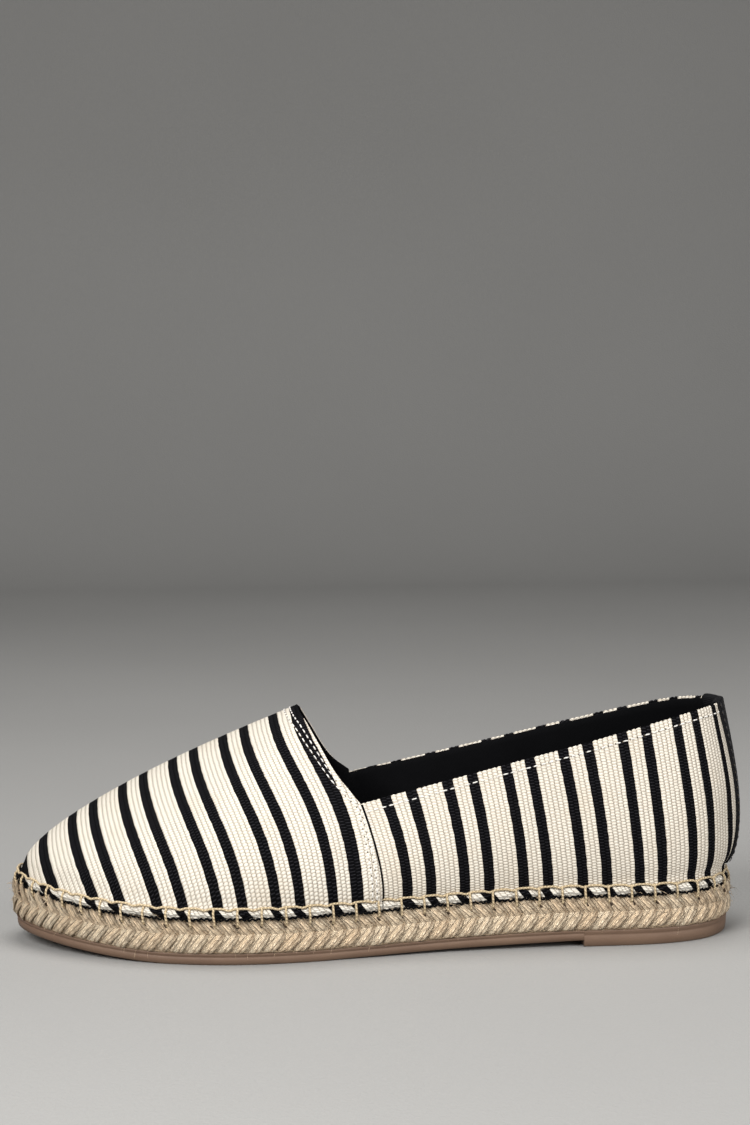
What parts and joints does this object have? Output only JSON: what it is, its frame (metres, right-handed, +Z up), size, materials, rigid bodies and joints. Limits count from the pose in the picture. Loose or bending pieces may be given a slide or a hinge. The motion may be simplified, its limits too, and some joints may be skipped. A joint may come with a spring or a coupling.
{
  "type": "espadrille",
  "caption": "Left slip-on flat espadrille: striped canvas vamp and quarters sewn to a braided jute midsole on a thin rubber outsole with a low heel lift.",
  "frame": {"origin": "on the floor, under the middle of the shoe's bounding box", "axes": "+X to the toe, +Y to the outer side of the left foot, +Z up"},
  "size_m": [0.26, 0.091, 0.0826],
  "materials": {
    "outsole_rubber": "matt moulded tan rubber",
    "jute_braid": "natural braided jute",
    "lining_cloth": "plain black cotton",
    "striped_canvas": "ribbed woven canvas in cream with black stripes",
    "black_tape": "black woven tape, slight sheen"
  },
  "bodies": {
    "root": {"outsole": "outsole_rubber", "jute_midsole": "jute_braid", "insole": "lining_cloth", "upper": "striped_canvas", "heel_tape": "black_tape"}
  },
  "joints": []
}
